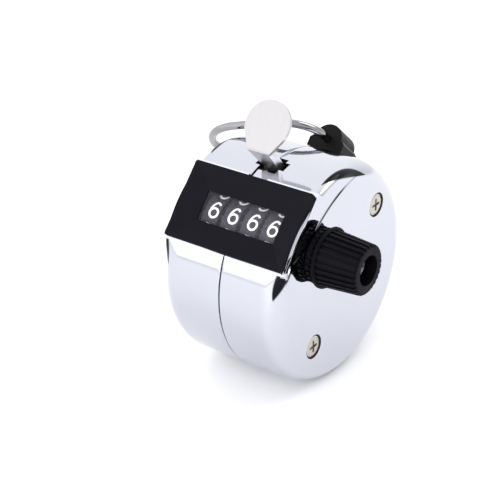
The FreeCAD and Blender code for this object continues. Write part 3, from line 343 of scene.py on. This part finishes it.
def half_shell(name, left):
    """One half of the drum: a dense outer skin with its shoulder, a rim and a plain inner skin."""
    depth = (SEAM_X if left else WIDTH - SEAM_X) - SEAM_GAP / 2
    skin = [("flat", radius) for radius in (3, 6, 9, 12, 14.5)]
    skin += [("edge", step / EDGE_STEPS) for step in range(EDGE_STEPS + 1)]
    skin += [("wall", (e, OUTER)) for e in (EDGE_DEPTH + 2, depth - 2, depth - 0.5, depth - 0.16)]
    skin += [("wall", spot) for spot in ((depth - 0.06, OUTER - 0.03), (depth, OUTER - 0.14))]
    outer_rows = len(skin)
    skin += [("wall", spot) for spot in ((depth, INNER), (depth - 2, INNER), (EDGE_DEPTH, INNER),
                                         (2.6, 20.6), (1.1, 19.0), (END_WALL, 16.0))]
    points, painted_shades, faces, looks = [], [], [], []
    for turn in range(TURNS):
        phi = 360 * turn / TURNS
        seen = phi if phi < 200 else phi - 360
        for kind, value in skin:
            shade = 0.0
            if kind == "flat":
                inward, radius = 0.0, value
            elif kind == "edge":
                inward, radius = edge_point(value, seen)
                # Painted shade for the hollows and the fold line, which goes into the fold attribute.
                shade = painted_fold_shade(value, seen, radius)
            else:
                inward, radius = value
            angle = math.radians(phi)
            points.append((inward if left else WIDTH - inward,
                           -radius * math.cos(angle), radius * math.sin(angle)))
            painted_shades.append(shade)
    rows = len(skin)
    for turn in range(TURNS):
        here, after = turn * rows, ((turn + 1) % TURNS) * rows
        for row in range(rows - 1):
            faces.append((here + row, here + row + 1, after + row + 1, after + row))
            looks.append(0 if row < outer_rows else 1)
    for row, inward, look in ((0, 0.0, 0), (rows - 1, END_WALL, 1)):
        points.append((inward if left else WIDTH - inward, 0, 0))
        painted_shades.append(0.0)
        for turn in range(TURNS):
            faces.append((turn * rows + row, ((turn + 1) % TURNS) * rows + row, len(points) - 1))
            looks.append(look)
    piece = mesh_piece(name, points, faces, (LOOKS["case_chrome"], LOOKS["inside"]))
    for face, look in zip(piece.data.polygons, looks):
        face.material_index = look
    # The fold attribute carries the painted shade to the chrome material.
    fold = piece.data.attributes.new("fold", "FLOAT", "POINT")
    fold.data.foreach_set("value", painted_shades)
    tidy_normals(piece)
    return piece


def tidy_normals(piece):
    """Faces all turned outward."""
    builder = bmesh.new()
    builder.from_mesh(piece.data)
    bmesh.ops.recalc_face_normals(builder, faces=builder.faces)
    builder.to_mesh(piece.data)
    builder.free()


def crosswise(y, z, x):
    """Row-frame point of an outline drawn across the drum's axis."""
    return Vector((x, y, z))


def holder_place(x, back, out):
    """Row-frame point from the ring holder's own directions: along, down the back, out of it."""
    tilt = math.radians(HOLDER_TILT)
    outward = Vector((0, math.sin(tilt), math.cos(tilt)))
    along = Vector((0, math.cos(tilt), -math.sin(tilt)))
    return Vector((x, 0, 0)) + along * back + outward * out


def window_place(x, t, n):
    """Row-frame point from the window's own directions: along, up its face, out of it."""
    return Vector((x, 0, 0)) + WINDOW_UP * t + WINDOW_NORMAL * n


def prism(name, outline, low, high, place):
    """Closed prism: outline points (a, b) swept from low to high, each put in place(a, b, c)."""
    count = len(outline)
    points = [place(a, b, c) for c in (low, high) for a, b in outline]
    faces = [tuple(range(count)), tuple(range(count, 2 * count))]
    faces += [(k, (k + 1) % count, (k + 1) % count + count, k + count) for k in range(count)]
    piece = mesh_piece(name, points, faces, (LOOKS["case_chrome"],))
    for face in piece.data.polygons:
        face.use_smooth = False
    tidy_normals(piece)
    return piece


def window_prism(name, x_low, x_high, t_low, t_high, n_low, n_high):
    """Closed box on the window's own directions."""
    outline = [(x_low, t_low), (x_high, t_low), (x_high, t_high), (x_low, t_high)]
    return prism(name, outline, n_low, n_high, window_place)


def boolean(piece, tool, operation):
    """Adds or cuts a tool, which is used up."""
    step = piece.modifiers.new(tool.name, "BOOLEAN")
    step.operation = operation
    step.object = tool
    step.solver = "EXACT"
    shaped = piece.evaluated_get(bpy.context.evaluated_depsgraph_get())
    done = bpy.data.meshes.new_from_object(shaped)
    piece.modifiers.clear()
    piece.data = done
    bpy.data.objects.remove(tool)


def cone(x, y, z, radius, end_radius, length):
    """Closed cone along X from radius to end_radius."""
    sides = 48
    ring = [(math.cos(k * math.tau / sides), math.sin(k * math.tau / sides)) for k in range(sides)]
    points = [(x, y + radius * c, z + radius * s) for c, s in ring]
    points += [(x + length, y + end_radius * c, z + end_radius * s) for c, s in ring]
    faces = [tuple(range(sides)), tuple(range(sides, 2 * sides))]
    faces += [(k, (k + 1) % sides, (k + 1) % sides + sides, k + sides) for k in range(sides)]
    piece = mesh_piece("cone", points, faces, (LOOKS["case_chrome"], LOOKS["inside"]))
    for face in piece.data.polygons:
        face.material_index = 1
    tidy_normals(piece)
    return piece


def slot_tool(width, front, back):
    """Wedge through the drum's top between two angles in front of it."""
    outline = [(-radius * math.sin(math.radians(a)), radius * math.cos(math.radians(a)))
               for radius, a in ((19, front), (28, front), (28, back), (19, back))]
    piece = prism("slot", outline, LEVER_X - width / 2, LEVER_X + width / 2, crosswise)
    piece.data.materials.append(LOOKS["inside"])
    for face in piece.data.polygons:
        face.material_index = 1
    return piece


def case():
    """The two chromed halves, with the window's seat, the lever's slot and the screw holes."""
    for name, left in (("left_shell", True), ("right_shell", False)):
        piece = half_shell("skin_" + name, left)
        seam = SEAM_X - SEAM_GAP / 2 if left else SEAM_X + SEAM_GAP / 2
        low, high = (0.25, seam) if left else (seam, WIDTH - 0.25)
        boolean(piece, window_prism("seat", low, high, *SEAT), "UNION")
        boolean(piece, window_prism("recess", 0.6, WIDTH - 0.6, *RECESS), "DIFFERENCE")
        boolean(piece, window_prism("mouth", 2.3, WIDTH - 2.3, *MOUTH), "DIFFERENCE")
        boolean(piece, slot_tool(*SLOT), "DIFFERENCE")
        boolean(piece, slot_tool(*SLOT_CROSS), "DIFFERENCE")
        for turn in SCREW_TURNS:
            y = SCREW_CIRCLE * math.cos(math.radians(turn))
            z = SCREW_CIRCLE * math.sin(math.radians(turn))
            if left:
                sink = cone(-1, y, z, SCREW_WIDE, SCREW_NARROW, SCREW_SINK)
            else:
                sink = cone(WIDTH + 1 - SCREW_SINK, y, z, SCREW_NARROW, SCREW_WIDE, SCREW_SINK)
            boolean(piece, sink, "DIFFERENCE")
        if not left:
            axis = WHEEL_AXIS / MM
            boolean(piece, cone(WIDTH - 2, axis.y, axis.z, BUSH_HOLE, BUSH_HOLE, 4), "DIFFERENCE")
        a, b = HOLDER_HOLE
        outline = [(LEVER_X + x, back) for x, back in ((-a, -b), (a, -b), (a, b), (-a, b))]
        boolean(piece, prism("holder_hole", outline, 18, 24, holder_place), "DIFFERENCE")
        piece.data.shade_smooth()
        piece.data.set_sharp_from_angle(angle=math.radians(32))
        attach(piece, "case")
        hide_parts(name)
    lap_strip()
    slot_tongue()


def slot_tongue():
    """The strip of the left half that backs the front of the lever's slot."""
    angles = [math.radians(TONGUE_START + TONGUE_SPAN * k / TONGUE_STEPS)
              for k in range(TONGUE_STEPS + 1)]
    outer, inner = TONGUE_RADII
    outline = [(-outer * math.sin(a), outer * math.cos(a)) for a in angles]
    outline += [(-inner * math.sin(a), inner * math.cos(a)) for a in reversed(angles)]
    piece = prism("slot_tongue", outline, LEVER_X - TONGUE_HALF, LEVER_X + TONGUE_HALF, crosswise)
    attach(piece, "case")


def lap_strip():
    """The left half's lip that laps inside the right one and closes the seam."""
    points, faces = [], []
    (left, right), (inner, outer) = LAP_X, LAP_RADII
    for step in range(LAP_STEPS + 1):
        angle = math.radians(LAP_START + LAP_SPAN * step / LAP_STEPS)
        for x, radius in ((left, inner), (right, inner), (right, outer), (left, outer)):
            points.append((x, -radius * math.cos(angle), radius * math.sin(angle)))
    for step in range(LAP_STEPS):
        a, b = step * 4, step * 4 + 4
        faces += [(a + k, a + (k + 1) % 4, b + (k + 1) % 4, b + k) for k in range(4)]
    last = LAP_STEPS * 4
    faces += [(0, 1, 2, 3), (last, last + 1, last + 2, last + 3)]
    piece = mesh_piece("lap_strip", points, faces, (LOOKS["inside"],))
    tidy_normals(piece)
    piece.data.set_sharp_from_angle(angle=math.radians(32))
    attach(piece, "case")


def arc(centre, radii, start, finish, steps=20):
    """Points round part of an ellipse, angles in degrees."""
    return [(centre[0] + radii[0] * math.cos(math.radians(start + (finish - start) * k / steps)),
             centre[1] + radii[1] * math.sin(math.radians(start + (finish - start) * k / steps)))
            for k in range(steps + 1)]


# Strokes of each numeral, two units wide and 3.4 high, about their middle.
STROKES = {
    0: [arc((0, 0), (0.9, 1.5), 0, 360, 40)],
    1: [[(-0.45, 1.0), (0.15, 1.5), (0.15, -1.5)]],
    2: [arc((0, 0.65), (0.85, 0.85), 165, -40, 20) + [(-0.85, -1.5), (0.9, -1.5)]],
    3: [arc((-0.05, 0.75), (0.8, 0.75), 150, -90), arc((-0.05, -0.75), (0.9, 0.75), 90, -150)],
    4: [[(0.45, -1.5), (0.45, 1.5), (-0.95, -0.6), (0.95, -0.6)]],
    5: [[(0.8, 1.5), (-0.65, 1.5), (-0.8, 0.15)] + arc((0, -0.55), (0.9, 0.95), 130, -150)],
    6: [arc((0, -0.6), (0.9, 0.9), 0, 360, 40), arc((0.1, -0.5), (1.0, 2.0), 178, 52, 24)],
    7: [[(-0.85, 1.5), (0.9, 1.5), (-0.25, -1.5)]],
    8: [arc((0, 0.78), (0.75, 0.72), 0, 360, 32), arc((0, -0.72), (0.9, 0.78), 0, 360, 32)],
    9: [arc((0, 0.6), (0.9, 0.9), 0, 360, 40), arc((-0.1, 0.5), (1.0, 2.0), -2, -128, 24)],
}


def numerals(wheel, centre_x):
    """Ten raised numerals round one wheel, white, reading 6 in the window at rest."""
    points, faces = [], []
    axis = WHEEL_AXIS / MM
    low, high = WHEEL_RADIUS - 0.02, WHEEL_RADIUS + 0.025
    for digit, strokes in STROKES.items():
        middle = math.radians(REST_ANGLE - 36 * (digit - REST_DIGIT))
        for path in strokes:
            start = len(points)
            for k, (u, v) in enumerate(path):
                before, after = path[max(k - 1, 0)], path[min(k + 1, len(path) - 1)]
                run = Vector((after[0] - before[0], after[1] - before[1])).normalized()
                for side, radius in ((-1, low), (1, low), (1, high), (-1, high)):
                    a, b = u - run.y * side * INK_HALF, v + run.x * side * INK_HALF
                    turn = middle + b / WHEEL_RADIUS
                    aim = WINDOW_NORMAL * math.cos(turn) + WINDOW_UP * math.sin(turn)
                    spot = axis + radius * aim
                    points.append((centre_x + INK_SHIFT + a, spot.y, spot.z))
            for k in range(len(path) - 1):
                a, b = start + 4 * k, start + 4 * k + 4
                faces += [(a + j, a + (j + 1) % 4, b + (j + 1) % 4, b + j) for j in range(4)]
            last = start + 4 * (len(path) - 1)
            faces += [tuple(range(start, start + 4)), tuple(range(last, last + 4))]
    piece = mesh_piece("numerals_" + wheel, points, faces, (LOOKS["ink"],))
    tidy_normals(piece)
    piece.data.set_sharp_from_angle(angle=math.radians(40))
    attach(piece, wheel)


def wire_ring():
    """The finger ring as one smooth bent wire."""
    stub, reach, inner, outer = 5.1, 23.8, 8.0, 8.6
    top = stub + inner
    side = [(0, 0), (0, stub * 0.5)] + arc((inner, stub), (inner, inner), 180, 90, 30)
    side += arc((reach - outer, top - outer), (outer, outer), 90, 0, 45)
    path = side + [(x, -y) for x, y in reversed(side[1:])]
    tilt = Matrix.Rotation(math.radians(-HOLDER_TILT), 3, "X")
    swing = tilt @ Matrix.Rotation(math.radians(RING_REST), 3, "Y")
    pivot = Vector(JOINTS["finger_ring_swivel"]["pos_m"])
    curve = bpy.data.curves.new("ring_wire", "CURVE")
    curve.dimensions = "3D"
    curve.bevel_depth = WIRE_RADIUS * MM
    curve.bevel_resolution = 8
    line = curve.splines.new("POLY")
    line.points.add(len(path) - 1)
    for point, (x, y) in zip(line.points, path):
        point.co = (*(pivot + swing @ Vector((x, y, 0)) * MM), 1)
    line.use_cyclic_u = True
    drawn = bpy.data.objects.new("ring_wire", curve)
    bpy.context.scene.collection.objects.link(drawn)
    shaped = drawn.evaluated_get(bpy.context.evaluated_depsgraph_get())
    mesh = bpy.data.meshes.new_from_object(shaped)
    bpy.data.objects.remove(drawn)
    mesh.materials.clear()
    mesh.materials.append(LOOKS["ring_chrome"])
    mesh.shade_smooth()
    piece = bpy.data.objects.new("ring_wire", mesh)
    bpy.context.scene.collection.objects.link(piece)
    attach(piece, "ring")
    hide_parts("finger_ring")


def soften(names, width):
    """Small broken edges on CAD nodes, so that they catch the light."""
    for name in names:
        node = nodes[name]
        step = node.modifiers.new("broken_edges", "BEVEL")
        step.width = width * MM
        step.segments = 2
        step.limit_method = "ANGLE"
        step.angle_limit = math.radians(35)
        step.harden_normals = True


# ---------------------------------------------------------------- studio
# The white room: direction, cosines where a patch starts and is full, and what it adds.
SKY_BASE = 1.0
SKY_PATCHES = (
    ((-0.5, -0.86, 0.2), 0.3, 0.9, 0.75),
    ((-0.5, 0.6, 0.62), 0.4, 0.95, 0.35),
    ((0.80, 0.12, 0.58), 0.955, 0.985, -0.95),
)


def studio():
    """A pale floor, a white room that greys towards the floor, and two soft lamps."""
    made, shader = principled("studio_floor", (0.88, 0.88, 0.885), 0.6)
    place = coordinates(made)
    vary_roughness(made, shader, place, 40, 0.55, 0.7)
    mesh = bpy.data.meshes.new("floor")
    builder = bmesh.new()
    bmesh.ops.create_grid(builder, x_segments=4, y_segments=4, size=1.6)
    builder.to_mesh(mesh)
    builder.free()
    floor = bpy.data.objects.new("floor", mesh)
    floor.location = (0, 0, -CASE_RADIUS - 0.05 * MM)
    mesh.materials.append(made)
    bpy.context.scene.collection.objects.link(floor)

    world = bpy.data.worlds.new("studio")
    bpy.context.scene.world = world
    world.use_nodes = True
    tree = world.node_tree
    sky = tree.nodes["Background"]
    place = tree.nodes.new("ShaderNodeTexCoord")
    total = None
    for aim, low, high, gain in SKY_PATCHES:
        dot = tree.nodes.new("ShaderNodeVectorMath")
        dot.operation = "DOT_PRODUCT"
        dot.inputs[1].default_value = Vector(aim).normalized()
        tree.links.new(place.outputs["Generated"], dot.inputs[0])
        patch = tree.nodes.new("ShaderNodeMapRange")
        patch.interpolation_type = "SMOOTHSTEP"
        patch.inputs["From Min"].default_value = low
        patch.inputs["From Max"].default_value = high
        patch.inputs["To Min"].default_value = 0
        patch.inputs["To Max"].default_value = gain
        tree.links.new(dot.outputs["Value"], patch.inputs["Value"])
        add = tree.nodes.new("ShaderNodeMath")
        add.operation = "ADD"
        add.inputs[1].default_value = SKY_BASE
        if total:
            tree.links.new(total, add.inputs[1])
        tree.links.new(patch.outputs["Result"], add.inputs[0])
        total = add.outputs["Value"]
    sky.inputs["Color"].default_value = (1, 1, 1, 1)
    tree.links.new(total, sky.inputs["Strength"])

    for name, place, size, power in (
        ("lamp_back", Vector((0.35, 0.4, 0.5)), 0.5, 1.6),
        ("lamp_front", Vector((0.12, -0.6, 0.26)), 0.4, 1.8),
    ):
        lamp = bpy.data.lights.new(name, "AREA")
        lamp.shape = "DISK"
        lamp.size = size
        lamp.energy = power
        holder = bpy.data.objects.new(name, lamp)
        holder.location = place
        holder.rotation_euler = (DRUM_CENTRE - place).to_track_quat("-Z", "Y").to_euler()
        bpy.context.scene.collection.objects.link(holder)


def camera():
    """The camera at the photographed angle, above the front right corner."""
    azimuth, elevation, roll = math.radians(35.15), math.radians(28.42), math.radians(-0.23)
    distance = 0.2659
    back = Vector((math.sin(azimuth) * math.cos(elevation),
                   -math.cos(azimuth) * math.cos(elevation), math.sin(elevation)))
    right = Vector((math.cos(azimuth), math.sin(azimuth), 0))
    up = back.cross(right)
    right, up = (right * math.cos(roll) + up * math.sin(roll),
                 up * math.cos(roll) - right * math.sin(roll))
    lens = bpy.data.cameras.new("camera")
    lens.lens = 98.2
    lens.sensor_width = 36
    lens.shift_x = -0.0708
    lens.shift_y = 0.011
    lens.clip_start = 0.01
    holder = bpy.data.objects.new("camera", lens)
    holder.matrix_world = Matrix.Translation(DRUM_CENTRE + back * distance) @ Matrix(
        (right, up, back)).transposed().to_4x4()
    bpy.context.scene.collection.objects.link(holder)
    bpy.context.scene.camera = holder


bpy.context.scene.view_settings.view_transform = "Standard"
studio()
camera()
dress_nodes()
case()
for wheel, place in (("thousands", 0), ("hundreds", 1), ("tens", 2), ("units", 3)):
    numerals(wheel, WIDTH / 2 + (place - 1.5) * WHEEL_PITCH)
wire_ring()
soften(("thumb_lever", "ring_holder"), 0.12)
soften(("window_bezel",), 0.15)
